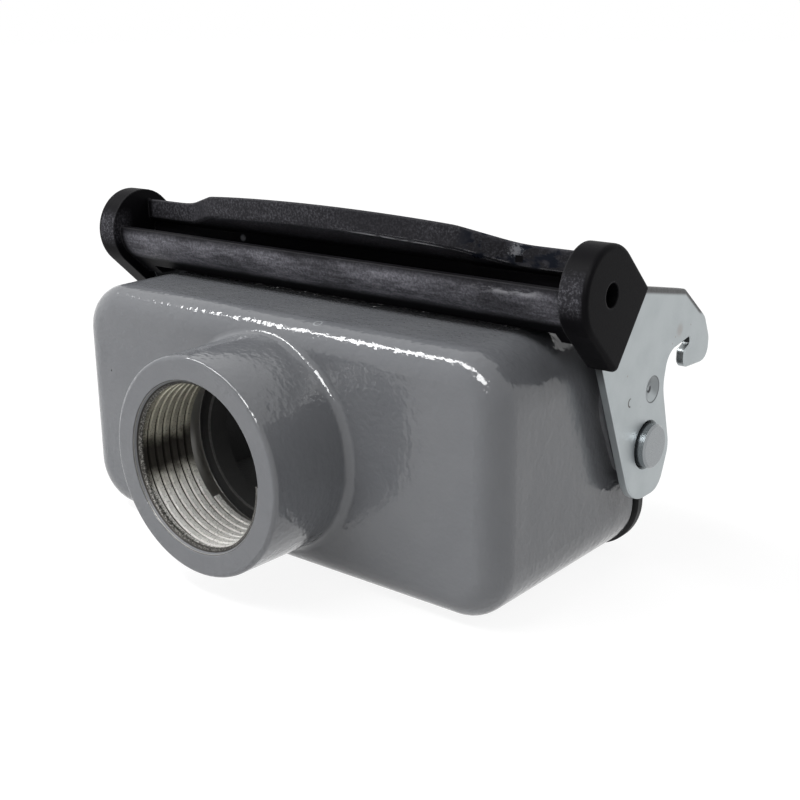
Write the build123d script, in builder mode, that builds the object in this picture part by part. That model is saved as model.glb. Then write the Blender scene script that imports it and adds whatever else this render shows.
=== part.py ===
from build123d import *
import os
from math import cos, radians, sin, sqrt, tan

os.makedirs("parts", exist_ok=True)

# Connector hood with one locking lever, for a rectangular multipole insert. All lengths are millimetres.
# The hood lies on its long side: +X runs along it, +Y points out of the open rim and +Z is up.
# The origin is the centre of the insert's four screws, on the seat that the insert rests on.

# Housing: a die casting that widens a little from its closed front to its open rim
hood_length = 94.0
hood_depth = 40.2
wall_draft = 0.5
rim_corner_radius = 9.0
front_edge_radius = 4.6
wall = 3.0
cavity_floor_chamfer = 1.8

# Insert seat: four posts with tapped holes, sunk below the rim
insert_seat_depth = 8.0
screw_from_end = 8.25
screw_from_side = 8.0
post_radius = 4.5
post_corner_radius = 4.0
screw_core_diameter = 3.3
screw_hole_depth = 12.0

# Cable entry: a boss with a tapped bore, a run-out groove and a shoulder
thread_diameter = 28.3
thread_length = 12.7
boss_wall = 3.9
boss_length = 16.3
boss_draft = 1.0
boss_edge_radius = 0.7
boss_root_radius = 1.5
boss_to_side = 3.45
mouth_chamfer = 0.2
relief_depth = 0.3
relief_length = 2.5
shoulder_height = 1.65

# Gasket: a neck and a lip on the rim, held by a tongue in a groove of the rim
gasket_neck = 1.2
gasket_lip = 1.8
gasket_neck_inset = 0.6
gasket_overhang = 0.55
gasket_lip_chamfer = 0.35
gasket_window_margin = 0.4
tongue_width = 1.2
tongue_depth = 0.9
groove_clearance = 0.05

# Lever pivot: a steel peg riveted through each short wall, and a raised land cast round it
pivot_from_rim = 3.2
peg_diameter = 7.4
peg_protrusion = 1.6
peg_chamfer = 0.35
collar_diameter = 9.8
collar_clearance = 0.1
rivet_diameter = 4.0
rivet_head_diameter = 5.8
rivet_head_thickness = 0.8
rivet_clearance = 0.02
land_height = 0.9
land_radius = 5.5
land_edge_chamfer = 0.35
detent_land_radius = 9.6
detent_above_pivot = 9.2
detent_before_pivot = 1.1

# Lever side plates: stamped zinc-plated steel, with a locking hook
plate_thickness = 1.6
plate_side_gap = 1.2
running_clearance = 0.08
plate_edge_chamfer = 0.22
plate_hole_chamfer = 0.4
dimple_radius = 2.3
dimple_depth = 1.0
dimple_bump = 0.9

# Lever handle: one plastic moulding. Places are taken from the pivot, with the lever open.
grip_radius = 7.5
grip_behind_pivot = 18.9
grip_above_hood = 7.1
cap_cover = 2.9
cap_edge_radius = 0.8
cap_hole_diameter = 3.8
cap_hole_depth = 2.4
tip_before_grip = 10.9
tip_below_grip = 0.85
tip_radius = 0.6
heel_before_grip = 2.3
heel_below_grip = 11.0
heel_radius = 1.1
bar_inset = 1.7
bar_rest_gap = 0.3
bar_edge_radius = 1.0
end_block_length = 4.0
end_block_drop = 1.6
tang_clearance = 0.05
tang_length = 7.2
notch_from_grip = 2.7
notch_drop = 2.4
notch_lean = 1.0
crest_above_grip = 1.0
crest_width = 1.9
crest_edge_radius = 0.6
rail_from_grip = 1.4
rail_above_grip = 1.8
rail_height = 3.9
rail_root = 3.0
rail_edge_chamfer = 0.35
bow_tilt = 31.7
bow_rise = 6.9
bow_shoulder_rise = 4.9
bow_shoulder = 27.5
bow_ramp = 9.5
bow_shoulder_radius = 5.0
bow_foot_radius = 12.0
pocket_half_length = 27.0
pocket_depth = 2.4

# Places that follow from the sizes above
hood_width = thread_diameter + 2 * (boss_wall + boss_to_side)
rim_y = insert_seat_depth
front_y = rim_y - hood_depth
floor_y = front_y + wall
mouth_y = front_y - boss_length
pivot_y = rim_y - pivot_from_rim
land_x = hood_length / 2 + land_height
plate_inner_x = land_x + plate_side_gap
plate_outer_x = plate_inner_x + plate_thickness
bar_half_length = plate_inner_x - tang_clearance
cap_outer_x = plate_outer_x + tang_clearance + cap_cover
screw_spacing_length = hood_length - 2 * screw_from_end
screw_spacing_width = hood_width - 2 * screw_from_side
grip_height = hood_width / 2 + grip_above_hood
grip_centre = (-grip_behind_pivot, grip_height)
tip_centre = (-grip_behind_pivot + tip_before_grip, grip_height - tip_below_grip)
heel_centre = (-grip_behind_pivot + heel_before_grip, grip_height - heel_below_grip)
bow_foot = bow_shoulder + bow_ramp


def across(y):
    # Plane across the hood at this depth: its own x is X, its own y is Z, and it faces the cable
    return Plane.XZ.offset(-y)


def at_pivot(x):
    # Plane square to the pivot axis, centred on it: its own x is Y, and its own y is Z
    return Plane(origin=(x, pivot_y, 0), x_dir=(0, 1, 0), z_dir=(1, 0, 0))


def rim_outline(inset, mode=Mode.ADD):
    # The rim's outline, moved in from the hood's outer face by this much
    RectangleRounded(hood_length - 2 * inset, hood_width - 2 * inset, rim_corner_radius - inset, mode=mode)


# Hollow of the housing, with the four insert posts left standing in it
with BuildPart() as cavity:
    with BuildSketch(across(rim_y)):
        rim_outline(wall)
    extrude(amount=hood_depth - wall, taper=wall_draft)
    chamfer(cavity.faces().sort_by(Axis.Y)[0].edges(), cavity_floor_chamfer)
    with BuildSketch(across(0)):
        post_length = screw_from_end + post_radius
        post_width = screw_from_side + post_radius
        with GridLocations(hood_length - post_length, hood_width - post_width, 2, 2):
            RectangleRounded(post_length, post_width, post_corner_radius)
    extrude(amount=-floor_y, mode=Mode.SUBTRACT)

with BuildPart() as hood_shell:
    with BuildSketch(across(rim_y)):
        rim_outline(0)
    extrude(amount=hood_depth, taper=wall_draft)
    fillet(hood_shell.faces().sort_by(Axis.Y)[0].edges(), front_edge_radius)

    # Cable entry boss, with its draft, its rounded mouth and the fillet at its root
    boss_radius = thread_diameter / 2 + boss_wall
    boss_root_y = front_y + wall / 2
    with BuildSketch(Plane.XY):
        with BuildLine():
            Polyline(
                (0, mouth_y), (boss_radius, mouth_y),
                (boss_radius + (boss_root_y - mouth_y) * tan(radians(boss_draft)), boss_root_y),
                (0, boss_root_y), close=True,
            )
        make_face()
    revolve(axis=Axis.Y)
    fillet(hood_shell.faces().sort_by(Axis.Y)[0].edges(), boss_edge_radius)
    boss_side = hood_shell.faces().filter_by(GeomType.CONE).sort_by(Axis.Y)[0]
    boss_root = [edge for edge in boss_side.edges() if edge.bounding_box().min.Y > front_y - boss_length / 4]
    fillet(boss_root, boss_root_radius)

    # Lands on the short walls, round the peg and behind the plate's dimple
    for side in (-1, 1):
        with BuildSketch(at_pivot(side * land_x)):
            Circle(land_radius)
            with Locations((0, detent_above_pivot)):
                Circle(detent_land_radius)
            make_hull()
            with Locations((pivot_from_rim + detent_land_radius, 0)):
                Rectangle(2 * detent_land_radius, 8 * detent_land_radius, mode=Mode.SUBTRACT)
        extrude(amount=-side * (land_height + wall))
        land_face = hood_shell.faces().sort_by(Axis.X)[-1 if side > 0 else 0]
        chamfer(land_face.edges().sort_by(Axis.Y)[:-1], land_edge_chamfer)
    add(cavity.part, mode=Mode.SUBTRACT)

    # Bore of the cable entry
    thread_radius = thread_diameter / 2
    thread_start = mouth_y + mouth_chamfer
    thread_end = thread_start + thread_length
    relief_end = thread_end + relief_length
    passage_end = floor_y + cavity_floor_chamfer
    with BuildSketch(Plane.XY):
        with BuildLine():
            Polyline(
                (0, mouth_y), (thread_radius + mouth_chamfer, mouth_y), (thread_radius, thread_start),
                (thread_radius, thread_end), (thread_radius + relief_depth, thread_end),
                (thread_radius + relief_depth, relief_end), (thread_radius - shoulder_height, relief_end),
                (thread_radius - shoulder_height, passage_end), (0, passage_end), close=True,
            )
        make_face()
    revolve(axis=Axis.Y, mode=Mode.SUBTRACT)

    # Tapped holes of the insert's screws
    with BuildSketch(across(0)):
        with GridLocations(screw_spacing_length, screw_spacing_width, 2, 2):
            Circle(screw_core_diameter / 2)
    extrude(amount=screw_hole_depth, mode=Mode.SUBTRACT)

    # Groove of the gasket's tongue, along the middle of the rim
    groove_inset = (wall - tongue_width) / 2 - groove_clearance
    with BuildSketch(across(rim_y)):
        rim_outline(groove_inset)
        rim_outline(wall - groove_inset, mode=Mode.SUBTRACT)
    extrude(amount=tongue_depth + groove_clearance, mode=Mode.SUBTRACT)

    # Rivet holes of the pegs
    with BuildSketch(at_pivot(-land_x)):
        Circle(rivet_diameter / 2 + rivet_clearance)
    extrude(amount=2 * land_x, mode=Mode.SUBTRACT)

hood_shell.part.label = "hood_shell"

# Gasket: neck, lip and tongue
with BuildPart() as rim_gasket:
    window_inset = wall - gasket_window_margin
    neck_y = rim_y + gasket_neck
    with BuildSketch(across(neck_y)):
        rim_outline(gasket_neck_inset)
        rim_outline(window_inset, mode=Mode.SUBTRACT)
    extrude(amount=gasket_neck)
    with BuildSketch(across(neck_y)):
        rim_outline(-gasket_overhang)
        rim_outline(window_inset, mode=Mode.SUBTRACT)
    extrude(amount=-gasket_lip)
    lip_face = rim_gasket.faces().sort_by(Axis.Y)[-1]
    chamfer(lip_face.outer_wire().edges(), gasket_lip_chamfer)
    with BuildSketch(across(rim_y)):
        tongue_inset = (wall - tongue_width) / 2
        rim_outline(tongue_inset)
        rim_outline(wall - tongue_inset, mode=Mode.SUBTRACT)
    extrude(amount=tongue_depth)

rim_gasket.part.label = "rim_gasket"

# Pivot pegs: rivet head inside the hood, rivet, collar on the land, and the journal that the plate turns on
with BuildPart() as peg_right:
    rivet_head_reach = pivot_from_rim + rivet_head_diameter / 2
    inner_wall_x = hood_length / 2 - wall - rivet_head_reach * tan(radians(wall_draft))
    collar_x = plate_inner_x - collar_clearance
    peg_end_x = plate_outer_x + peg_protrusion
    with BuildSketch(Plane(origin=(0, pivot_y, 0), x_dir=(1, 0, 0), z_dir=(0, 0, 1))):
        with BuildLine():
            Polyline(
                (inner_wall_x - rivet_head_thickness, 0),
                (inner_wall_x - rivet_head_thickness, rivet_head_diameter / 2),
                (inner_wall_x, rivet_head_diameter / 2), (inner_wall_x, rivet_diameter / 2),
                (land_x, rivet_diameter / 2), (land_x, collar_diameter / 2),
                (collar_x, collar_diameter / 2), (collar_x, peg_diameter / 2),
                (peg_end_x - peg_chamfer, peg_diameter / 2), (peg_end_x, peg_diameter / 2 - peg_chamfer),
                (peg_end_x, 0), close=True,
            )
        make_face()
    revolve(axis=Axis((0, pivot_y, 0), (1, 0, 0)))

with BuildPart() as peg_left:
    mirror(peg_right.part, about=Plane.YZ)

peg_right.part.label = "peg_right"
peg_left.part.label = "peg_left"

# Side plate's outline, from the pivot: lobe round the peg, neck, hook, top edge and the tang in the cap.
# Each corner is a place and the radius that rounds it.
tang_end = -grip_behind_pivot - 1.2
plate_corners = [
    ((-4.4, -9.3), 7.0), ((5.2, -9.4), 4.0), ((8.2, -2.2), 5.0), ((4.95, 8.9), 7.0), ((6.2, 14.2), 3.5),
    ((14.0, 15.5), 0.5), ((14.1, 14.2), 0.5), ((12.1, 13.4), 1.0), ((11.9, 10.3), 1.6), ((21.2, 9.9), 2.6),
    ((21.35, 14.1), 3.0), ((19.3, 18.1), 3.0), ((11.2, 24.1), 2.6),
    ((tang_end + tang_length, grip_height + 0.2), 1.5), ((tang_end, grip_height - 1.6), 1.5),
]
plate_places = [place for place, radius in plate_corners]
plate_radii = [radius for place, radius in plate_corners]

with BuildPart() as lever_plate_right:
    with BuildSketch(at_pivot(plate_inner_x)):
        with BuildLine():
            FilletPolyline(plate_places, radius=plate_radii, close=True)
        make_face()
        Circle(peg_diameter / 2 + running_clearance, mode=Mode.SUBTRACT)
    extrude(amount=plate_thickness)
    inner_face = lever_plate_right.faces().sort_by(Axis.X)[0]
    outer_face = lever_plate_right.faces().sort_by(Axis.X)[-1]
    chamfer(outer_face.inner_wires()[0].edges(), plate_hole_chamfer)
    chamfer(inner_face.outer_wire().edges() + outer_face.outer_wire().edges(), plate_edge_chamfer)

    # Dimple: a cone pressed in from outside, and the bump that it raises inside
    dimple_y = pivot_y + detent_before_pivot
    with BuildSketch(Plane(origin=(0, dimple_y, detent_above_pivot), x_dir=(1, 0, 0), z_dir=(0, -1, 0))):
        with BuildLine():
            Polyline((plate_outer_x, 0), (plate_outer_x, dimple_radius), (plate_outer_x - dimple_depth, 0),
                     close=True)
        make_face()
    dimple_axis = Axis((0, dimple_y, detent_above_pivot), (1, 0, 0))
    revolve(axis=dimple_axis, mode=Mode.SUBTRACT)
    with BuildSketch(Plane(origin=(0, dimple_y, detent_above_pivot), x_dir=(1, 0, 0), z_dir=(0, -1, 0))):
        with BuildLine():
            Polyline(
                (plate_inner_x + dimple_bump / 2, 0), (plate_inner_x + dimple_bump / 2, dimple_radius),
                (plate_inner_x, dimple_radius), (plate_inner_x - dimple_bump, dimple_radius / 2),
                (plate_inner_x - dimple_bump, 0), close=True,
            )
        make_face()
    revolve(axis=dimple_axis)

with BuildPart() as lever_plate_left:
    mirror(lever_plate_right.part, about=Plane.YZ)

lever_plate_right.part.label = "lever_plate_right"
lever_plate_left.part.label = "lever_plate_left"


def grip_outline(inset=0.0):
    # The end caps' outline: a round end that narrows to a tip behind and a heel below. An inset moves it in;
    # its two square corners then move in by the diagonal of that inset.
    with Locations(grip_centre):
        Circle(grip_radius - inset)
    with Locations((tip_centre[0] - inset * sqrt(2), tip_centre[1])):
        Circle(tip_radius)
    with Locations((heel_centre[0], heel_centre[1] + inset * sqrt(2))):
        Circle(heel_radius)
    make_hull()


# Rail along the handle's bar, which rises in the middle as a bow for the fingers
rail_y = pivot_y - grip_behind_pivot + rail_from_grip
rail_z = grip_height + rail_above_grip
with BuildPart() as finger_rail:
    bow_plane = Plane(origin=(0, rail_y, rail_z), x_dir=(1, 0, 0),
                      z_dir=(0, sin(radians(bow_tilt)), cos(radians(bow_tilt))))
    with BuildSketch(bow_plane):
        with BuildLine():
            ThreePointArc((-bow_shoulder, -bow_shoulder_rise), (0, -bow_rise), (bow_shoulder, -bow_shoulder_rise))
            Polyline(
                (bow_shoulder, -bow_shoulder_rise), (bow_foot, 0), (bar_half_length, 0),
                (bar_half_length, rail_root), (-bar_half_length, rail_root), (-bar_half_length, 0),
                (-bow_foot, 0), (-bow_shoulder, -bow_shoulder_rise),
            )
        make_face()
        corners_by_rise = vertices().group_by(Axis.Y)
        fillet(corners_by_rise[0], bow_shoulder_radius)
        fillet(vertices().filter_by(lambda corner: abs(abs(corner.X) - bow_foot) < 0.1), bow_foot_radius)
    extrude(amount=rail_height, dir=(0, 0, 1))
    front_edges = finger_rail.edges().filter_by(lambda edge: edge.bounding_box().max.Y < rail_y + 0.01)
    chamfer(front_edges.filter_by(Axis.Z, reverse=True), rail_edge_chamfer)

notch_corner = (-grip_behind_pivot + notch_from_grip, grip_height - notch_drop)
crest_front = (-grip_behind_pivot - grip_radius + bar_inset, grip_height + crest_above_grip)
crest_back = (crest_front[0] + crest_width, crest_front[1])
notch_front = (crest_back[0] + notch_lean, notch_corner[1])
clear_of_bar = 2 * grip_radius
with BuildPart() as lever_handle:
    # Bar: the caps' outline moved inwards and cut flat above the hood
    with BuildSketch(at_pivot(-bar_half_length)):
        grip_outline(bar_inset)
        with Locations((-grip_behind_pivot, hood_width / 2 + bar_rest_gap)):
            Rectangle(6 * grip_radius, 4 * grip_radius, align=(Align.CENTER, Align.MAX), mode=Mode.SUBTRACT)
        fillet(vertices().group_by(Axis.Y)[0].sort_by(Axis.X)[0], bar_edge_radius)
    extrude(amount=2 * bar_half_length)

    # End blocks: beside each cap the bar reaches lower, over the hood's rounded corner
    for side in (-1, 1):
        with BuildSketch(at_pivot(side * (bar_half_length - end_block_length))):
            grip_outline(bar_inset)
            with Locations((-grip_behind_pivot, hood_width / 2 + bar_rest_gap - end_block_drop)):
                Rectangle(6 * grip_radius, 4 * grip_radius, align=(Align.CENTER, Align.MAX),
                          mode=Mode.SUBTRACT)
        extrude(amount=side * end_block_length)

    # Channel for the fingertips, all along the bar behind its crest
    with BuildSketch(at_pivot(-bar_half_length)):
        with BuildLine():
            Polyline(
                notch_corner, (notch_corner[0], grip_height + clear_of_bar),
                (crest_front[0] - clear_of_bar, grip_height + clear_of_bar),
                (crest_front[0] - clear_of_bar, crest_front[1]), crest_back, notch_front, close=True,
            )
        make_face()
        fillet(vertices().sort_by_distance(notch_corner)[0], bar_edge_radius)
        fillet(vertices().sort_by_distance(notch_front)[0], bar_edge_radius)
        fillet(vertices().sort_by_distance(crest_back)[0], crest_edge_radius)
    extrude(amount=2 * bar_half_length, mode=Mode.SUBTRACT)
    add(finger_rail.part)

    # Finger pocket behind the bow: a shallow crescent cut into the notch's back wall
    with BuildSketch(Plane(origin=(0, pivot_y + notch_corner[0], notch_corner[1]))):
        with BuildLine():
            ThreePointArc((-pocket_half_length, 0), (0, pocket_depth), (pocket_half_length, 0))
            Polyline((pocket_half_length, 0), (pocket_half_length, -bar_edge_radius),
                     (-pocket_half_length, -bar_edge_radius), (-pocket_half_length, 0))
        make_face()
    extrude(amount=rail_above_grip + notch_drop, mode=Mode.SUBTRACT)

    for side in (-1, 1):
        # End cap, with a blind hole at the middle of its round end
        with BuildSketch(at_pivot(side * bar_half_length)):
            grip_outline()
        extrude(amount=side * (cap_outer_x - bar_half_length))
        cap_face = lever_handle.faces().sort_by(Axis.X)[-1 if side > 0 else 0]
        fillet(cap_face.outer_wire().edges(), cap_edge_radius)
        with BuildSketch(at_pivot(side * cap_outer_x)):
            with Locations(grip_centre):
                Circle(cap_hole_diameter / 2)
        extrude(amount=-side * cap_hole_depth, mode=Mode.SUBTRACT)

        # Pocket that the side plate's tang is pressed into
        with BuildSketch(at_pivot(side * bar_half_length)):
            with BuildLine():
                FilletPolyline(plate_places, radius=plate_radii, close=True)
            make_face()
            offset(amount=tang_clearance)
        extrude(amount=side * (plate_thickness + 2 * tang_clearance), mode=Mode.SUBTRACT)

lever_handle.part.label = "lever_handle"

export_step(hood_shell.part, "parts/hood_shell.step")
export_step(rim_gasket.part, "parts/rim_gasket.step")
export_step(peg_left.part, "parts/peg_left.step")
export_step(peg_right.part, "parts/peg_right.step")
export_step(lever_plate_left.part, "parts/lever_plate_left.step")
export_step(lever_plate_right.part, "parts/lever_plate_right.step")
export_step(lever_handle.part, "parts/lever_handle.step")
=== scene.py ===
import bpy
import bmesh
import math
from mathutils import Matrix, Vector


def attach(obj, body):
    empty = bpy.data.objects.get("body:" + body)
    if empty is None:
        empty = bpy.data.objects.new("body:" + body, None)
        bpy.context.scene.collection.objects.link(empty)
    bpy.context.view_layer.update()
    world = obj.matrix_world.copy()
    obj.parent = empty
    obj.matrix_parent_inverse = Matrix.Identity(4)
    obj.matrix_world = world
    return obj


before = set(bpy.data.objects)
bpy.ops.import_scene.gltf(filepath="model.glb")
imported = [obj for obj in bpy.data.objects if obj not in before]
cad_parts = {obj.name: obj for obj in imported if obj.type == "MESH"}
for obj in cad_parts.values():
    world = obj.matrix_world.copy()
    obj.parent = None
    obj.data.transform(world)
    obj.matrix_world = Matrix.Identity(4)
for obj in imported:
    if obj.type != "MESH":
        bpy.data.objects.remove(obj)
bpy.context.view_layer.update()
mm = 0.001
print("frame loaded:", len(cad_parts), "nodes")

scene = bpy.context.scene
scene.view_settings.view_transform = "Standard"


# Camera: the photograph's place and direction
cameraSet = {
    "place": (139.97, -171.03, 67.16),   # mm
    "azimuth": 38.725,                   # degrees round the hood, from its cable side
    "elevation": 17.045,
    "roll": -0.452,
    "lens": 56.06,                       # mm, on a sensor of the width below
    "sensor": 36,
    "nearest": 0.01,                     # m, where the view starts and ends
    "furthest": 20,
}

cameraData = bpy.data.cameras.new("photoCamera")
cameraData.lens = cameraSet["lens"]
cameraData.sensor_width = cameraSet["sensor"]
cameraData.clip_start = cameraSet["nearest"]
cameraData.clip_end = cameraSet["furthest"]
camera = bpy.data.objects.new("photoCamera", cameraData)
scene.collection.objects.link(camera)
cameraTurn = (Matrix.Rotation(math.radians(cameraSet["azimuth"]), 4, "Z")
              @ Matrix.Rotation(math.radians(90 - cameraSet["elevation"]), 4, "X")
              @ Matrix.Rotation(math.radians(cameraSet["roll"]), 4, "Z"))
camera.matrix_world = Matrix.Translation(Vector(cameraSet["place"]) * mm) @ cameraTurn
scene.camera = camera
print("camera placed")


bevelSamples = 6             # rays sent out to find a nearby edge
edgeTurn = (0.995, 0.93)     # cosines of the turn from which and up to which an edge shows


# A shader socket that can stand in a sum, so that masks and colours read as plain maths; one that has no
# socket only adds the first node to its tree
class Wire:
    def __init__(self, tree, socket=None):
        self.tree = tree
        self.socket = socket

    # Adds any node: its settings first, then the values or wires of its sockets, by name or as i0, i1, i2
    def node(self, kind, settings=None, out=0, **inputs):
        made = self.tree.nodes.new("ShaderNode" + kind)
        for name, value in (settings or {}).items():
            setattr(made, name, value)
        for name, value in inputs.items():
            numbered = name[1:].isdigit()
            socket = made.inputs[int(name[1:])] if numbered else made.inputs[name.replace("_", " ")]
            if isinstance(value, Wire):
                self.tree.links.new(value.socket, socket)
            else:
                isColour = socket.type == "RGBA" and len(value) == 3
                socket.default_value = (*value, 1) if isColour else value
        return Wire(self.tree, made.outputs[out])

    def math(self, operation, *values):
        named = {"i" + str(i): value for i, value in enumerate(values)}
        return self.node("Math", {"operation": operation}, **named)

    def __add__(self, other):
        return self.math("ADD", self, other)

    def __radd__(self, other):
        return self.math("ADD", other, self)

    def __sub__(self, other):
        return self.math("SUBTRACT", self, other)

    def __rsub__(self, other):
        return self.math("SUBTRACT", other, self)

    def __mul__(self, other):
        return self.math("MULTIPLY", self, other)

    def __rmul__(self, other):
        return self.math("MULTIPLY", other, self)

    def __pow__(self, other):
        return self.math("POWER", self, other)

    def __abs__(self):
        return self.math("ABSOLUTE", self)

    # 0 below low and 1 above high, with a soft step between; low may be the larger
    def step(self, low, high):
        return self.node("MapRange", {"interpolation_type": "SMOOTHSTEP"},
                         Value=self, From_Min=low, From_Max=high, To_Min=0.0, To_Max=1.0)

    # 1 from low to high, and 0 outside, each end softened by this much
    def band(self, low, high, soft):
        return self.step(low - soft, low + soft) * self.step(high + soft, high - soft)

    # The same step and band, of a length and with their limits in mm
    def stepMm(self, low, high):
        return self.step(low * mm, high * mm)

    def bandMm(self, low, high, soft):
        return self.band(low * mm, high * mm, soft * mm)

    def least(self, other):
        return self.math("MINIMUM", self, other)

    def most(self, other):
        return self.math("MAXIMUM", self, other)

    # Another output of the node that this wire leaves
    def beside(self, out):
        return Wire(self.tree, self.socket.node.outputs[out])

    def axes(self):
        split = self.node("SeparateXYZ", Vector=self)
        return [split.beside(i) for i in range(3)]

    # Goes from this colour to another one by a mask
    def blend(self, other, mask):
        return self.node("Mix", {"data_type": "RGBA"}, out=2, i0=mask, i6=self, i7=other)

    # This wire is the mask itself, between two colours
    def between(self, low, high):
        return self.node("Mix", {"data_type": "RGBA"}, out=2, i0=self, i6=low, i7=high)

    # A weight that goes from low up to low + more as this mask goes from 0 to 1
    def weight(self, low, more):
        return low + more * self

    # Soft noise whose grains have about this size, in mm
    def noise(self, size, detail=2.0, roughness=0.5, distortion=0.0):
        return self.node("TexNoise", Vector=self, Scale=1 / (size * mm), Detail=detail, Roughness=roughness,
                         Distortion=distortion)

    # The same place, stretched along each axis
    def stretched(self, *factors):
        return self.node("VectorMath", {"operation": "MULTIPLY"}, i0=self, i1=factors)

    # How far this place is from a point given in mm, for a mark that sits there
    def far(self, point):
        return self.node("VectorMath", {"operation": "DISTANCE"}, out=1, i0=self,
                         i1=tuple(value * mm for value in point))

    # Random cells of about this size, in mm: how far the nearest seed is, in cells, and that seed's number
    def cells(self, size):
        near = self.node("TexVoronoi", Vector=self, Scale=1 / (size * mm))
        return near, near.beside("Color").axes()[0]

    # The surface's direction with its edges rounded to this radius, in mm
    def rounded(self, radius):
        return self.node("Bevel", {"samples": bevelSamples}, Radius=radius * mm)

    # 1 where two faces meet within this radius, in mm, and 0 on open faces
    def edges(self, radius):
        soft = self.rounded(radius)
        plain = self.node("NewGeometry", out=1)
        facing = self.node("VectorMath", {"operation": "DOT_PRODUCT"}, out=1, i0=soft, i1=plain)
        return facing.step(*edgeTurn)

    # Relief that is this high where the wire is 1, in metres
    def bump(self, height, normal=None):
        extra = {"Normal": normal} if normal else {}
        return self.node("Bump", Height=self, Distance=height, Strength=1.0, **extra)


# A material with one principled shader; it gives back that shader, and the place on the piece as a wire
def newFinish(name):
    finish = bpy.data.materials.new(name)
    finish.use_nodes = True
    shader = finish.node_tree.nodes["Principled BSDF"]
    place = Wire(finish.node_tree).node("TexCoord", out="Object")
    return finish, shader, place


# Gives a socket of a shader a wire or a plain value
def feed(shader, name, value):
    if isinstance(value, Wire):
        value.tree.links.new(value.socket, shader.inputs[name])
    else:
        shader.inputs[name].default_value = value


# Puts a finish on every slot of these nodes of the frame
def dress(finish, *nodeNames):
    for nodeName in nodeNames:
        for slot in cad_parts[nodeName].material_slots:
            slot.material = finish


# In the dictionaries of finishes, lengths and places are in mm. A pair of limits is the two ends of a soft
# step, a third number is how soft a band's ends are, and a weight is what stays where its noise is 0 and
# what the noise adds.

# Housing: glossy grey enamel outside, machined metal in the cable entry, painted shade in the hollow and
# passage
paintSet = {
    "colour": (0.144, 0.149, 0.160),
    "cloudy": (0.156, 0.161, 0.171),
    "cloudSize": 14.0,            # mm
    "cloudSpread": (0.35, 0.75),  # a spread is where the noise starts to show and where it shows fully
    "dullSpread": (0.5, 0.8),
    "roughness": 0.10,
    "cloudRough": 0.03,           # what a cloud, machined metal and the painted shade inside add to it
    "machinedRough": 0.20,
    "castingRough": 0.8,
    "peelSize": 0.95,             # mm across one dimple of the orange peel
    "peel": 0.085,                # mm
    "waveSize": 4.5,
    "waves": 0.12,
    # painted shade, for the hollow behind the entry and the entry's passage
    "casting": (0.0035, 0.0035, 0.0037),
    "gritSize": 0.5,
    "grit": 0.08,
    "machined": (0.30, 0.295, 0.28),
    "machinedMetallic": 0.55,
    "specks": 9.0,                # mm between specks of dirt in the paint
    "speckSize": (0.028, 0.014),  # as shares of that
    "speckHeight": 0.05,
    "darkSpeck": (0.02, 0.02, 0.02),
    "darkKind": (0.55, 0.60),     # the seeds' numbers, from 0 to 1, that give dark and pale specks
    "paleSpeck": (0.5, 0.52, 0.54),
    "paleKind": (0.12, 0.08),
    "bubble": (9.43, -28.88, 21.01),
    "bubbleRing": (0.55, 0.8, 0.12),
    "bubbleHeight": 0.03,
    "bubblePale": 0.35,
    "entryWall": (14.75, 14.5),   # the entry: out from its axis, and from its passage to its mouth
    "entryBack": (-28.5, -29.0),
    "entryMouth": (-48.45, -48.3),
    "entryDark": (-33.7, -33.4),
    # a painted highlight along the edge where the entry's shoulder meets its passage
    "shoulder": (0.10, 0.10, 0.10),
    "shoulderOut": (12.35, 12.9, 0.12),
    "shoulderAlong": (-33.7, -32.9, 0.1),
    "shoulderGrit": (0.3, 0.7),
    "cavityCentre": (38.0, 12.5),  # x and z about which the cavity's corners are rounded
    "cavityCorner": (7.6, 7.4),
    "cavityFloor": (-30.6, -30.4),
    "cavityRim": (7.98, 7.9),
}

housingPaint, shader, place = newFinish("housingPaint")
x, y, z = place.axes()
radial = (x * x + z * z) ** 0.5
inEntry = (radial.stepMm(*paintSet["entryWall"]) * y.stepMm(*paintSet["entryBack"])
           * y.stepMm(*paintSet["entryMouth"]))
deepEntry = inEntry * y.stepMm(*paintSet["entryDark"])
centreX, centreZ = paintSet["cavityCentre"]
acrossX = (abs(x) - centreX * mm).most(0.0)
acrossZ = (abs(z) - centreZ * mm).most(0.0)
fromCorner = (acrossX * acrossX + acrossZ * acrossZ) ** 0.5
inHollow = (fromCorner.stepMm(*paintSet["cavityCorner"]) * y.stepMm(*paintSet["cavityFloor"])
            * y.stepMm(*paintSet["cavityRim"]))
# painted shade: the hollow and the entry's passage are coloured near black for the shade that falls in them
paintedHollowShade = inHollow.most(deepEntry)
metal = inEntry * (1 - paintedHollowShade)
# painted highlight: a pale line on the edge of the shoulder, deep in the entry
shoulderEdge = radial.bandMm(*paintSet["shoulderOut"]) * y.bandMm(*paintSet["shoulderAlong"])

peel = place.noise(paintSet["peelSize"], detail=1.5)
waves = place.noise(paintSet["waveSize"], detail=1.0)
grit = place.noise(paintSet["gritSize"], detail=3.0)
cloudy = place.noise(paintSet["cloudSize"], detail=3.0)
speckFar, speckKind = place.cells(paintSet["specks"])
speck = speckFar.step(*paintSet["speckSize"]) * (1 - paintedHollowShade)
darkSpeck = speck * speckKind.step(*paintSet["darkKind"])
paleSpeck = speck * speckKind.step(*paintSet["paleKind"])
bubble = place.far(paintSet["bubble"]).bandMm(*paintSet["bubbleRing"])
colour = cloudy.step(*paintSet["cloudSpread"]).between(paintSet["colour"], paintSet["cloudy"])
colour = colour.blend(paintSet["darkSpeck"], darkSpeck)
colour = colour.blend(paintSet["paleSpeck"], paleSpeck.most(bubble * paintSet["bubblePale"]))
colour = colour.blend(paintSet["machined"], metal)
colour = colour.blend(paintSet["casting"], paintedHollowShade)
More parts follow.
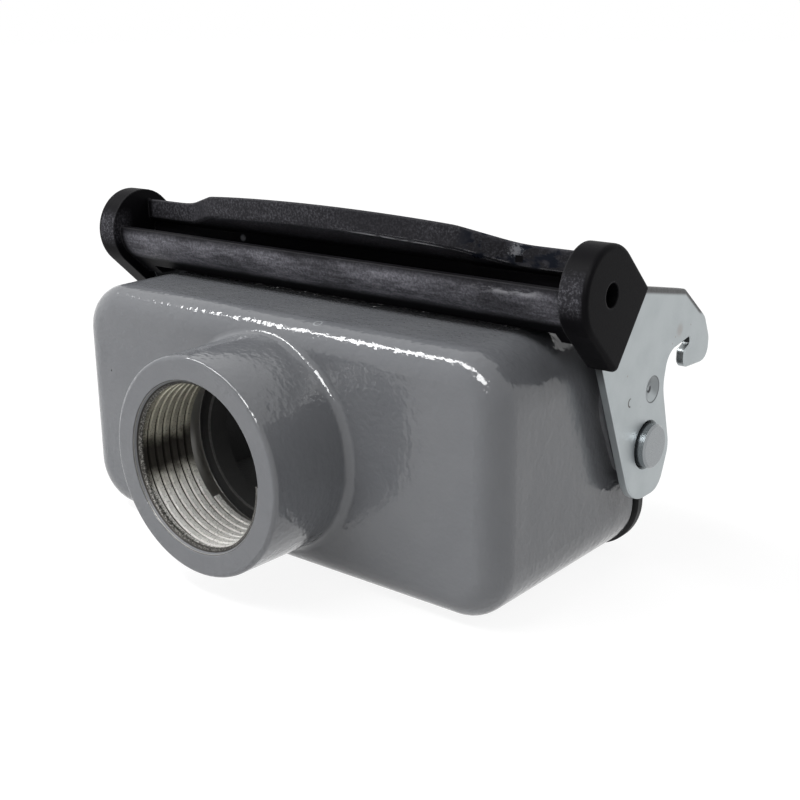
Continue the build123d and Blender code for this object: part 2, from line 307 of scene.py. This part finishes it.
colour = colour.blend(paintSet["shoulder"], shoulderEdge * grit.weight(*paintSet["shoulderGrit"]))
feed(shader, "Base Color", colour)
feed(shader, "Metallic", metal * paintSet["machinedMetallic"])
roughness = paintSet["roughness"] + metal * paintSet["machinedRough"] + paintedHollowShade * paintSet["castingRough"]
roughness = roughness + cloudy.step(*paintSet["dullSpread"]) * paintSet["cloudRough"]
feed(shader, "Roughness", roughness)
painted = 1 - metal.most(paintedHollowShade)
height = peel * (paintSet["peel"] * mm) * painted + waves * (paintSet["waves"] * mm) * painted
marks = grit * paintedHollowShade * paintSet["grit"] + speck * painted * paintSet["speckHeight"]
height = height + (marks + bubble * paintSet["bubbleHeight"]) * mm
feed(shader, "Normal", height.bump(1.0))
dress(housingPaint, "hood_shell")

# Gasket: black rubber with a little dust
rubberSet = {
    "colour": (0.012, 0.012, 0.013),
    "dust": (0.03, 0.03, 0.031),
    "dustSize": 0.8,              # mm
    "dustSpread": (0.45, 0.9),
    "dustRough": 0.2,
    "relief": 0.03,
    "roughness": 0.55,
}

gasketRubber, shader, place = newFinish("gasketRubber")
dust = place.noise(rubberSet["dustSize"], detail=4.0)
colour = dust.step(*rubberSet["dustSpread"]).between(rubberSet["colour"], rubberSet["dust"])
feed(shader, "Base Color", colour)
feed(shader, "Roughness", rubberSet["roughness"] + dust * rubberSet["dustRough"])
feed(shader, "Normal", dust.bump(rubberSet["relief"] * mm))
dress(gasketRubber, "rim_gasket")

# Lever plastic: black with a moulded grain, rubbed grey on the bar and the bow, with painted highlights and
# sheen
plasticSet = {
    "colour": (0.0042, 0.0040, 0.0049),
    "rubbed": (0.25, 0.247, 0.278),
    # colour of the painted highlights, and of the little wear on edges
    "edge": (0.40, 0.40, 0.42),
    # painted sheen of the glossy spots, and below it its blue part
    "polishSheen": (0.045, 0.045, 0.052),
    "blue": (0.009, 0.011, 0.017),
    "bare": (0.42, 0.43, 0.46),
    "roughness": 0.40,
    "specular": 0.035,
    "grainSize": 0.30,            # mm
    "grain": 0.018,
    "speckleSize": 0.42,
    "streakSize": 0.7,
    "patchSize": 5.0,
    "polishSize": 1.9,
    "blueSize": 2.6,
    "streakStretch": (0.20, 1.0, 1.0),   # smaller is longer along that axis
    "patchStretch": (0.35, 1.0, 0.8),
    "polishStretch": (0.6, 1.0, 1.3),
    "grainRough": 0.15,
    "polishRough": 0.22,
    "barRough": 0.04,
    "streakRelief": 0.5,          # the streaks' share of the grain's height
    "polishRelief": 0.8,          # how much of it the polish takes away
    "edgeSearch": 0.5,
    "edgeRadius": 0.3,
    "barEnd": (48.9, 47.5),
    "barHigh": (21.6, 28.9, 0.9),
    "barFront": (-17.0, -18.5),
    "barFade": (30.0, 37.0),      # the rubbing weakens here, towards the right end
    "barFadeShare": 0.35,         # by this share of itself
    "barSpeckle": (0.34, 0.74),   # each spread with its weights: what stays without it, and what it adds
    "barSpeckleWeight": (0.45, 0.55),
    "barPatches": (0.30, 0.60),
    "barPatchWeight": (0.50, 0.50),
    "barStreaks": (0.35, 0.65),
    "barStreakWeight": (0.55, 0.45),
    "capInside": (48.7, 49.3),
    "capOutside": (53.1, 52.4),
    "capFront": (-16.5, -18.5),
    "capHigh": (27.0, 32.0, 1.5),
    "capSpeckle": (0.42, 0.80),
    "capSpeckleWeight": (0.15, 0.85),
    "capShare": 0.5,
    "streakAlong": (33.0, 44.5, 2.0),
    "streakHigh": (28.0, 28.9, 0.3),
    "streakFront": (-17.0, -18.0),
    "streakSpread": (0.42, 0.62),
    "streakShare": 0.4,
    "bowFront": (-11.0, -12.0),
    "bowLow": (30.2, 31.2),
    "bowEnd": (48.5, 47.5),
    "bowSpeckle": (0.40, 0.75),
    "bowSpeckleWeight": (0.06, 0.26),
    "bowPatches": (0.38, 0.66),
    "bowPatchWeight": (0.35, 0.65),
    "lowEdgeHighlight": (34.8, 36.1, 0.3),  # z of the bow's lower edge at x = 0, where a highlight is painted
    "lowEdgeFall": 0.105,
    "lowEdgeStart": (-8.0, 8.0),
    "lowEdgeTurn": (0.0, 0.5),
    "lowEdgeStreaks": (0.34, 0.50),
    "edgeShare": 0.05,            # how much of the edge colour the other edges take
    "polishAlong": (28.5, 44.5, 1.5),
    "polishSpread": (0.47, 0.56),
    "polishShare": 0.7,
    "blueSpread": (0.56, 0.46),
    "chip": (36.3, -13.2, 33.2),  # a bare bright chip beside the square mould mark
    "chipSize": (1.3, 0.3),
    "chipRagged": 3.4,
    "chipShare": 0.45,
    "nick": (-25.0, -11.1, 28.7),
    "nickSize": (0.8, 0.3),
    "nickShare": 0.5,
    "mark": (36.8, 31.9),         # the mould mark's x and z
    "markHalfX": (0.62, 0.55),
    "markHalfZ": (0.58, 0.50),
    "markDepth": 0.10,
}

leverPlastic, shader, place = newFinish("leverPlastic")
x, y, z = place.axes()
grain = place.noise(plasticSet["grainSize"], detail=2.0, roughness=0.6)
speckle = place.noise(plasticSet["speckleSize"], detail=3.0, roughness=0.7)
alongBar = place.stretched(*plasticSet["streakStretch"])
streaks = alongBar.noise(plasticSet["streakSize"], detail=4.0, roughness=0.65)
patches = place.stretched(*plasticSet["patchStretch"]).noise(plasticSet["patchSize"], detail=3.0)
edge = place.edges(plasticSet["edgeSearch"])

barFace = (abs(x).stepMm(*plasticSet["barEnd"]) * z.bandMm(*plasticSet["barHigh"])
           * y.stepMm(*plasticSet["barFront"]))
rubbed = barFace * speckle.step(*plasticSet["barSpeckle"]).weight(*plasticSet["barSpeckleWeight"])
rubbed = rubbed * patches.step(*plasticSet["barPatches"]).weight(*plasticSet["barPatchWeight"])
rubbed = rubbed * streaks.step(*plasticSet["barStreaks"]).weight(*plasticSet["barStreakWeight"])
rubbed = rubbed * (1 - plasticSet["barFadeShare"] * x.stepMm(*plasticSet["barFade"]))
# painted highlight: speckled sparkle on the caps' sides
capSideSparkle = (abs(x).stepMm(*plasticSet["capInside"]) * abs(x).stepMm(*plasticSet["capOutside"])
           * y.stepMm(*plasticSet["capFront"]) * z.bandMm(*plasticSet["capHigh"])
           * speckle.step(*plasticSet["capSpeckle"]).weight(*plasticSet["capSpeckleWeight"]))
# painted highlight: a thin bright streak along the top of the bar near its right end
streakHighlight = (x.bandMm(*plasticSet["streakAlong"]) * z.bandMm(*plasticSet["streakHigh"])
          * y.stepMm(*plasticSet["streakFront"]) * streaks.step(*plasticSet["streakSpread"]))
bowFace = (y.stepMm(*plasticSet["bowFront"]) * z.stepMm(*plasticSet["bowLow"])
           * abs(x).stepMm(*plasticSet["bowEnd"]))
railLow, railMore = plasticSet["bowSpeckleWeight"]
railPatches = patches.step(*plasticSet["bowPatches"]).weight(*plasticSet["bowPatchWeight"])
rail = bowFace * (railLow + railMore * speckle.step(*plasticSet["bowSpeckle"]) * railPatches)
# painted highlight along the bow's lower edge
lowEdgeHighlight = ((z + x * plasticSet["lowEdgeFall"]).bandMm(*plasticSet["lowEdgeHighlight"])
           * x.stepMm(*plasticSet["lowEdgeStart"]) * bowFace)
lowEdgeHighlight = lowEdgeHighlight * edge.step(*plasticSet["lowEdgeTurn"]) * streaks.step(*plasticSet["lowEdgeStreaks"])
# glossy spots on the bow's right end: less rough, with a painted sheen that lightens them, bluish in some
polishPlace = place.stretched(*plasticSet["polishStretch"])
polishSpots = polishPlace.noise(plasticSet["polishSize"], detail=3.0, distortion=0.6)
polish = x.bandMm(*plasticSet["polishAlong"]) * bowFace * polishSpots.step(*plasticSet["polishSpread"])
blueSheen = polish * place.noise(plasticSet["blueSize"], detail=1.0).step(*plasticSet["blueSpread"])
raggedness = (speckle - 0.5) * (plasticSet["chipRagged"] * mm)
chip = (place.far(plasticSet["chip"]) + raggedness).stepMm(*plasticSet["chipSize"])
nick = place.far(plasticSet["nick"]).stepMm(*plasticSet["nickSize"])
markX, markZ = plasticSet["mark"]
mark = (abs(x - markX * mm).stepMm(*plasticSet["markHalfX"])
        * abs(z - markZ * mm).stepMm(*plasticSet["markHalfZ"]) * bowFace)

# grey: rubbed wear on the bar and the bow, and the painted sparkle on the caps' sides
grey = rubbed.most(rail).most(capSideSparkle * plasticSet["capShare"])
# edges: a little wear and a painted highlight; the bow's lower edge and the bar's streak: painted
# highlights
bright = (edge * plasticSet["edgeShare"]).most(lowEdgeHighlight).most(streakHighlight * plasticSet["streakShare"])
bare = (chip * plasticSet["chipShare"]).most(nick * plasticSet["nickShare"])
colour = grey.between(plasticSet["colour"], plasticSet["rubbed"])
colour = colour.blend(plasticSet["edge"], bright)
colour = colour.blend(plasticSet["polishSheen"], polish * plasticSet["polishShare"])
colour = colour.blend(plasticSet["blue"], blueSheen)
colour = colour.blend(plasticSet["bare"], bare)
colour = colour.blend(plasticSet["colour"], mark)
feed(shader, "Base Color", colour)
roughness = plasticSet["roughness"] + grain * plasticSet["grainRough"] - polish * plasticSet["polishRough"]
feed(shader, "Roughness", roughness - barFace * plasticSet["barRough"])
height = (grain + streaks * plasticSet["streakRelief"]) * (1 - polish * plasticSet["polishRelief"])
height = height * (plasticSet["grain"] * mm)
height = height - mark * (plasticSet["markDepth"] * mm)
feed(shader, "Normal", height.bump(1.0, place.rounded(plasticSet["edgeRadius"])))
feed(shader, "Specular IOR Level", plasticSet["specular"])
dress(leverPlastic, "lever_handle")

# Zinc plating: pale and a little cloudy, with painted dark reflections on the upper edges and painted shade
# inside
zincSet = {
    "colour": (0.405, 0.435, 0.445),
    "cloud": (0.375, 0.405, 0.415),
    # painted shade, for the inner faces and the dimple
    "paintedShade": (0.055, 0.057, 0.060),
    # painted dark reflection on the plate's upper edges
    "paintedEdgeReflection": (0.045, 0.042, 0.042),
    "stain": (0.25, 0.19, 0.16),
    "scratch": (0.08, 0.07, 0.065),
    "roughness": 0.36,
    "fineRough": 0.08,
    "cloudRough": 0.04,
    "shearedRough": 0.12,
    "relief": 0.015,              # height of the clouds
    "fineRelief": 0.5,            # the fine grain's share of it
    "cloudSize": 5.0,
    "fineSize": 0.35,
    "spots": 4.0,                 # mm between small spots
    "spotSize": (0.05, 0.03),     # as shares of that
    "spotKind": (0.6, 0.7),       # the seeds' numbers that give a spot
    "spotShare": 0.6,
    "cloudSpread": (0.35, 0.7),
    "innerFace": (49.25, 49.15),
    "thickness": (49.3, 50.5, 0.08),
    "shearedHigh": (12.0, 17.0),
    "stainAt": (50.7, 14.6, 17.4),
    "stainSize": (1.6, 0.3),
    "stainShare": 0.35,
    "scratchAt": (50.7, -1.43, 8.68),
    "scratchRing": (0.55, 0.80, 0.08),
    "scratchHalf": (0.3, -0.3),
    "dimpleAt": (5.9, 9.2),       # y and z
    "dimpleInside": (2.25, 2.05),
    "dimpleShade": (-0.9, 1.2),
    "dimpleWeight": (0.08, 0.45),
    "dimpleRim": (2.10, 2.30, 0.07),
    "rimShare": 0.8,
    "dimplePit": (0.35, 0.75, 0.15),
    "pitHalf": (-0.3, 0.4),
    "nose": (16.0, 24.1),         # y and z where the top edge and the slanted edge meet
    "topSlope": 0.189,            # how steeply z falls along y on each of these edges
    "slantSlope": 0.741,
    "topShare": 0.75,             # makes each rolled edge as wide as the photo shows it
    "slantShare": 0.8,
    "rolledWidth": (0.95, 0.50),
    "rolledHigh": (18.3, 19.3),
    "rolledWeight": (0.75, 0.25),
}

zincPlate, shader, place = newFinish("zincPlate")
x, y, z = place.axes()
cloudy = place.noise(zincSet["cloudSize"], detail=3.0)
fine = place.noise(zincSet["fineSize"], detail=3.0)
spotFar, spotKind = place.cells(zincSet["spots"])
spots = spotFar.step(*zincSet["spotSize"]) * spotKind.step(*zincSet["spotKind"])
stain = place.far(zincSet["stainAt"]).stepMm(*zincSet["stainSize"])
inner = abs(x).stepMm(*zincSet["innerFace"])
# painted dark reflection on the faces of the plate's upper sheared edges
paintedEdgeReflection = abs(x).bandMm(*zincSet["thickness"]) * z.stepMm(*zincSet["shearedHigh"])
colour = cloudy.step(*zincSet["cloudSpread"]).between(zincSet["colour"], zincSet["cloud"])
colour = colour.blend(zincSet["stain"], spots * zincSet["spotShare"])
colour = colour.blend(zincSet["stain"], stain * zincSet["stainShare"])
scratchHalf = (y - zincSet["scratchAt"][1] * mm).stepMm(*zincSet["scratchHalf"])
scratch = place.far(zincSet["scratchAt"]).bandMm(*zincSet["scratchRing"]) * scratchHalf
colour = colour.blend(zincSet["scratch"], scratch)
# painted shade: the plates' inner faces, which face the housing, are coloured dark
colour = colour.blend(zincSet["paintedShade"], inner)
# painted shade inside the dimple, with a darker rim and a dark pit on one side
dimpleY = y - zincSet["dimpleAt"][0] * mm
dimpleZ = z - zincSet["dimpleAt"][1] * mm
dimple = (dimpleY * dimpleY + dimpleZ * dimpleZ) ** 0.5
shade = (dimpleZ + dimpleY).stepMm(*zincSet["dimpleShade"]).weight(*zincSet["dimpleWeight"])
paintedDimpleShade = dimple.stepMm(*zincSet["dimpleInside"]) * shade
paintedDimpleShade = paintedDimpleShade.most(dimple.bandMm(*zincSet["dimpleRim"]) * zincSet["rimShare"])
paintedDimpleShade = paintedDimpleShade.most(dimple.bandMm(*zincSet["dimplePit"]) * (dimpleY - dimpleZ).stepMm(*zincSet["pitHalf"]))
colour = colour.blend(zincSet["paintedShade"], paintedDimpleShade * (1 - inner))
# painted dark reflection in a band along the rounded top edge and the slanted edge
noseY, noseZ = zincSet["nose"]
underTop = noseZ * mm - (y - noseY * mm) * zincSet["topSlope"] - z
underSlant = noseZ * mm - (y - noseY * mm) * zincSet["slantSlope"] - z
rolledEdgeReflection = (underTop * zincSet["topShare"]).least(underSlant * zincSet["slantShare"])
rolledEdgeReflection = rolledEdgeReflection.stepMm(*zincSet["rolledWidth"]) * z.stepMm(*zincSet["rolledHigh"])
colour = colour.blend(zincSet["paintedEdgeReflection"], paintedEdgeReflection.most(rolledEdgeReflection) * fine.weight(*zincSet["rolledWeight"]))
feed(shader, "Base Color", colour)
feed(shader, "Metallic", 1.0)
roughness = zincSet["roughness"] + fine * zincSet["fineRough"] + cloudy * zincSet["cloudRough"]
feed(shader, "Roughness", roughness - paintedEdgeReflection * zincSet["shearedRough"])
feed(shader, "Normal", (fine * zincSet["fineRelief"] + cloudy).bump(zincSet["relief"] * mm))
dress(zincPlate, "lever_plate_left", "lever_plate_right")

# Pegs: turned and zinc-plated, with painted shade on the foot, where each stands in its plate
pegSet = {
    "colour": (0.26, 0.275, 0.285),
    # painted shade at the foot
    "footShade": (0.06, 0.065, 0.07),
    "footEnd": (51.3, 50.9),
    "roughness": 0.22,
    "turnedRough": 0.12,
    "turnedSize": 0.4,
    "turnedStretch": (3.0, 0.4, 0.4),
    "relief": 0.01,
}

turnedPeg, shader, place = newFinish("turnedPeg")
turned = place.stretched(*pegSet["turnedStretch"]).noise(pegSet["turnedSize"], detail=3.0)
# painted shade at the foot of the peg, where it stands in the plate's hole
footShade = abs(place.axes()[0]).stepMm(*pegSet["footEnd"])
feed(shader, "Base Color", footShade.between(pegSet["colour"], pegSet["footShade"]))
feed(shader, "Metallic", 1.0)
feed(shader, "Roughness", pegSet["roughness"] + turned * pegSet["turnedRough"])
feed(shader, "Normal", turned.bump(pegSet["relief"] * mm))
dress(turnedPeg, "peg_left", "peg_right")
print("finishes made")


# Goes back to object mode, with nothing selected
def emptySelection():
    if bpy.context.object and bpy.context.object.mode != "OBJECT":
        bpy.ops.object.mode_set(mode="OBJECT")
    bpy.ops.object.select_all(action="DESELECT")


# Leaves a piece at the origin with its place in its mesh, its faces outwards and smooth, on a body
def finishPiece(piece, name, finish, body="hood", angle=35):
    emptySelection()
    piece.select_set(True)
    bpy.context.view_layer.objects.active = piece
    bpy.ops.object.transform_apply(location=True, rotation=True, scale=True)
    bpy.ops.object.mode_set(mode="EDIT")
    bpy.ops.mesh.select_all(action="SELECT")
    bpy.ops.mesh.remove_doubles(threshold=0.000001)
    bpy.ops.mesh.normals_make_consistent(inside=False)
    bpy.ops.object.mode_set(mode="OBJECT")
    bpy.ops.object.shade_smooth_by_angle(angle=math.radians(angle))
    piece.name = name
    piece.data.materials.clear()
    piece.data.materials.append(finish)
    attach(piece, body)


# Machined metal of the entry, with reflections painted round the bore and painted shade in the thread's
# roots
machinedSet = {
    # painted reflections round the bore: pale above, bright below, dark between
    "pale": (0.55, 0.53, 0.44),
    "bright": (0.86, 0.85, 0.82),
    "darkReflection": (0.030, 0.027, 0.022),
    "leadIn": (0.22, 0.215, 0.20),
    # painted shade in the thread's roots, and dark dirt specks
    "rootShadeAndDirt": (0.022, 0.020, 0.018),
    "metallic": 0.75,
    "roughness": 0.24,
    "turnedRough": 0.16,
    "grainRough": 0.22,
    "turnedSize": 0.5,
    "turnedStretch": (0.2, 4.0, 0.2),
    "turned": 0.012,
    "roughSize": 0.30,
    "rough": (0.03, 0.11),        # its height everywhere, and how much more below
    "swaySize": 2.0,
    "swayAngle": 0.25,           # radians by which the noise sways the limits below
    "darkReflectionBand": (1.45, 1.95, 0.14),    # radians from the top round the left side, and their softness, of the painted dark reflection
    "belowLeft": (1.7, 2.3),
    "belowRight": (-1.9, -2.3),
    "leadInAlong": (-46.9, -47.3),
    "root": (13.62, 13.80),
    "frontDirt": (-46.0, -47.2),
    "frontSpread": (0.36, 0.56),
    "frontShare": 0.93,
    "dirtSpread": (0.54, 0.70),
    "dirtShare": 0.8,
    "lipAlong": (-47.80, -47.86),  # the enamel reaches this far over the mouth's edge
    "lipOut": (13.90, 13.96),
}

machined, shader, place = newFinish("machinedThread")
x, y, z = place.axes()
radial = (x * x + z * z) ** 0.5
turned = place.stretched(*machinedSet["turnedStretch"]).noise(machinedSet["turnedSize"], detail=3.0)
rough = place.noise(machinedSet["roughSize"], detail=3.0, roughness=0.7)
reflectionSway = place.noise(machinedSet["swaySize"], detail=3.0)
# painted reflections: the colour changes by the angle round the bore, swayed by a noise
roundTo = (0 - x).math("ARCTAN2", 0 - x, z) + (reflectionSway - 0.5) * machinedSet["swayAngle"]
below = roundTo.step(*machinedSet["belowLeft"]).most(roundTo.step(*machinedSet["belowRight"]))
colour = below.between(machinedSet["pale"], machinedSet["bright"])
colour = colour.blend(machinedSet["darkReflection"], roundTo.band(*machinedSet["darkReflectionBand"]))
colour = colour.blend(machinedSet["leadIn"], y.stepMm(*machinedSet["leadInAlong"]))
# painted shade in the thread's roots, joined below with dark dirt specks on the lead-in and elsewhere
root = radial.stepMm(*machinedSet["root"])
frontDirt = y.stepMm(*machinedSet["frontDirt"]) * rough.step(*machinedSet["frontSpread"])
spotDirt = rough.step(*machinedSet["dirtSpread"])
rootShadeAndDirt = root.most(frontDirt * machinedSet["frontShare"]).most(spotDirt * machinedSet["dirtShare"])
colour = colour.blend(machinedSet["rootShadeAndDirt"], rootShadeAndDirt)
lip = y.stepMm(*machinedSet["lipAlong"]) * radial.stepMm(*machinedSet["lipOut"])
feed(shader, "Base Color", colour.blend(paintSet["colour"], lip))
feed(shader, "Metallic", (1 - lip) * machinedSet["metallic"])
roughness = machinedSet["roughness"] + turned * machinedSet["turnedRough"]
feed(shader, "Roughness", roughness + rough * machinedSet["grainRough"])
relief = turned * machinedSet["turned"] + rough * below.weight(*machinedSet["rough"])
feed(shader, "Normal", relief.bump(mm))

# Thread of the cable entry: one helical ridge that stands on the bore's wall
threadSet = {
    "bore": 14.17,        # mm, its root sits this far out, just inside the wall
    "crest": 13.39,
    "pitch": 1.588,
    "start": -47.55,      # mm along the hood, where the first turn begins
    "turns": 7.36,
    "rootWidth": 1.56,
    "crestWidth": 0.96,
    "sides": 96,          # faces to each turn
}

emptySelection()
bpy.ops.mesh.primitive_plane_add(size=1)
ridge = bpy.context.object
halfRoot = threadSet["rootWidth"] / 2
halfCrest = threadSet["crestWidth"] / 2
corners = [(threadSet["bore"], -halfRoot), (threadSet["bore"], halfRoot),
           (threadSet["crest"], halfCrest), (threadSet["crest"], -halfCrest)]
bpy.ops.object.mode_set(mode="EDIT")
ridgeMesh = bmesh.from_edit_mesh(ridge.data)
loop = list(ridgeMesh.faces)[0].verts
for vert, (out, along) in zip(loop, corners):
    vert.co = Vector((out * mm, (threadSet["start"] + along) * mm, 0))
bmesh.update_edit_mesh(ridge.data)
bpy.ops.mesh.select_all(action="SELECT")
bpy.ops.mesh.delete(type="ONLY_FACE")
bpy.ops.object.mode_set(mode="OBJECT")
winding = ridge.modifiers.new("winding", "SCREW")
winding.axis = "Y"
winding.angle = math.radians(360 * threadSet["turns"])
winding.screw_offset = threadSet["pitch"] * threadSet["turns"] * mm
winding.steps = int(threadSet["sides"] * threadSet["turns"])
winding.render_steps = winding.steps
bpy.ops.object.modifier_apply(modifier="winding")
bpy.ops.object.mode_set(mode="EDIT")
bpy.ops.mesh.select_all(action="DESELECT")
bpy.ops.mesh.select_non_manifold()
bpy.ops.mesh.fill()
finishPiece(ridge, "entry_thread", machined, angle=25)

# Lead-in: the machined cone between the entry's mouth and the first turn
leadSet = {
    "mouth": 14.28,       # mm, its radius in front and behind
    "throat": 13.42,
    "front": -48.42,
    "back": -47.25,
    "wall": 0.10,
    "sides": 128,
}

emptySelection()
bpy.ops.mesh.primitive_cone_add(vertices=leadSet["sides"], radius1=leadSet["mouth"] * mm,
                                radius2=leadSet["throat"] * mm, end_fill_type="NOTHING",
                                depth=(leadSet["back"] - leadSet["front"]) * mm,
                                location=(0, (leadSet["front"] + leadSet["back"]) / 2 * mm, 0),
                                rotation=(-math.pi / 2, 0, 0))
lead = bpy.context.object
leadWall = lead.modifiers.new("wall", "SOLIDIFY")
leadWall.thickness = leadSet["wall"] * mm
leadWall.offset = 1.0
bpy.ops.object.modifier_apply(modifier="wall")
finishPiece(lead, "entry_lead_in", machined)
print("entry thread cut")


# 1 for rays from the camera and for those that metal or glass sends on, and 0 for light on a surface
def seenRays(tree):
    seen = Wire(tree).node("LightPath", out="Is Camera Ray")
    return seen.most(seen.beside("Is Glossy Ray")).most(seen.beside("Is Transmission Ray"))


# Floor, a plain pale sheet that the hood lies on; it is seen whiter the further off it lies
floorSet = {
    "size": 8000,         # mm
    "height": -22.06,
    "colour": (0.8, 0.8, 0.8),
    "white": 1.12,        # strength of its white
    "whiteShare": 0.8,    # share of that white near the hood, which leaves the shadow
    "whitening": (220, 700),
}

emptySelection()
bpy.ops.mesh.primitive_plane_add(size=floorSet["size"] * mm, location=(0, 0, floorSet["height"] * mm))
floor = bpy.context.object
floor.name = "floor"
floorSheet = bpy.data.materials.new("floorSheet")
floorSheet.use_nodes = True
tree = floorSheet.node_tree
tree.nodes.clear()
seen = seenRays(tree)
matt = seen.node("BsdfDiffuse", Color=floorSet["colour"])
white = seen.node("Emission", Color=(1, 1, 1), Strength=floorSet["white"])
floorPlace = Wire(tree).node("TexCoord", out="Object")
away = floorPlace.far((0, 0, 0)).stepMm(*floorSet["whitening"])
share = away.weight(floorSet["whiteShare"], 1 - floorSet["whiteShare"])
both = seen.node("MixShader", i0=seen * share, i1=matt, i2=white)
ending = tree.nodes.new("ShaderNodeOutputMaterial")
tree.links.new(both.socket, ending.inputs["Surface"])
floor.data.materials.append(floorSheet)

# Studio light: a sky that is brighter overhead, and four lamps
lightSet = {
    "skyLow": 0.02,
    "skyHigh": 0.46,
    "skyRise": (0.0, 0.9),   # sines of the heights over the horizon between which it grows brighter
    "lamps": {   # place and aim in mm, long side's direction, size in mm, power in watts
        # a long strip for the sparkle on the upper edge
        "stripLamp": {"place": (-183, -249, 483), "aim": (10, -30, 15), "along": (0.907, -0.386, 0.168),
                      "size": (540, 90), "power": 3.1},
        # lights nothing and is only seen, as a glint on the entry's mouth
        "glintLamp": {"place": (215, -400, 440), "aim": (10, -30, 15), "along": (0.907, -0.386, 0.168),
                      "size": (240, 240), "power": 3.4, "lighting": False},
        # two large soft lamps that nothing mirrors
        "leftLamp": {"place": (-900, -500, 350), "aim": (0, -20, 0), "along": (0.5, -0.86, 0),
                     "size": (900, 800), "power": 4.5, "mirrored": False},
        "rightLamp": {"place": (700, 500, 500), "aim": (0, -20, 0), "along": (0.6, -0.8, 0),
                      "size": (480, 480), "power": 1.6, "mirrored": False},
    },
}

world = bpy.data.worlds.new("studio")
scene.world = world
world.use_nodes = True
tree = world.node_tree
tree.nodes.clear()
seen = seenRays(tree)
upward = Wire(tree).node("TexCoord", out="Generated").axes()[2]
skyShare = upward.step(*lightSet["skyRise"])
skyLight = skyShare * (lightSet["skyHigh"] - lightSet["skyLow"]) + lightSet["skyLow"]
strength = seen + (1 - seen) * skyLight
sky = seen.node("Background", Color=(1, 1, 1), Strength=strength)
ending = tree.nodes.new("ShaderNodeOutputWorld")
tree.links.new(sky.socket, ending.inputs["Surface"])

for name, lampSet in lightSet["lamps"].items():
    lampData = bpy.data.lights.new(name, "AREA")
    lampData.shape = "RECTANGLE"
    lampData.size = lampSet["size"][0] * mm
    lampData.size_y = lampSet["size"][1] * mm
    lampData.energy = lampSet["power"]
    lamp = bpy.data.objects.new(name, lampData)
    scene.collection.objects.link(lamp)
    lamp.visible_glossy = lampSet.get("mirrored", True)
    lamp.visible_diffuse = lampSet.get("lighting", True)
    back = (Vector(lampSet["place"]) - Vector(lampSet["aim"])).normalized()
    side = Vector(lampSet["along"])
    side = (side - back * side.dot(back)).normalized()
    turn = Matrix((side, back.cross(side), back)).transposed().to_4x4()
    lamp.matrix_world = Matrix.Translation(Vector(lampSet["place"]) * mm) @ turn
print("floor and light made")
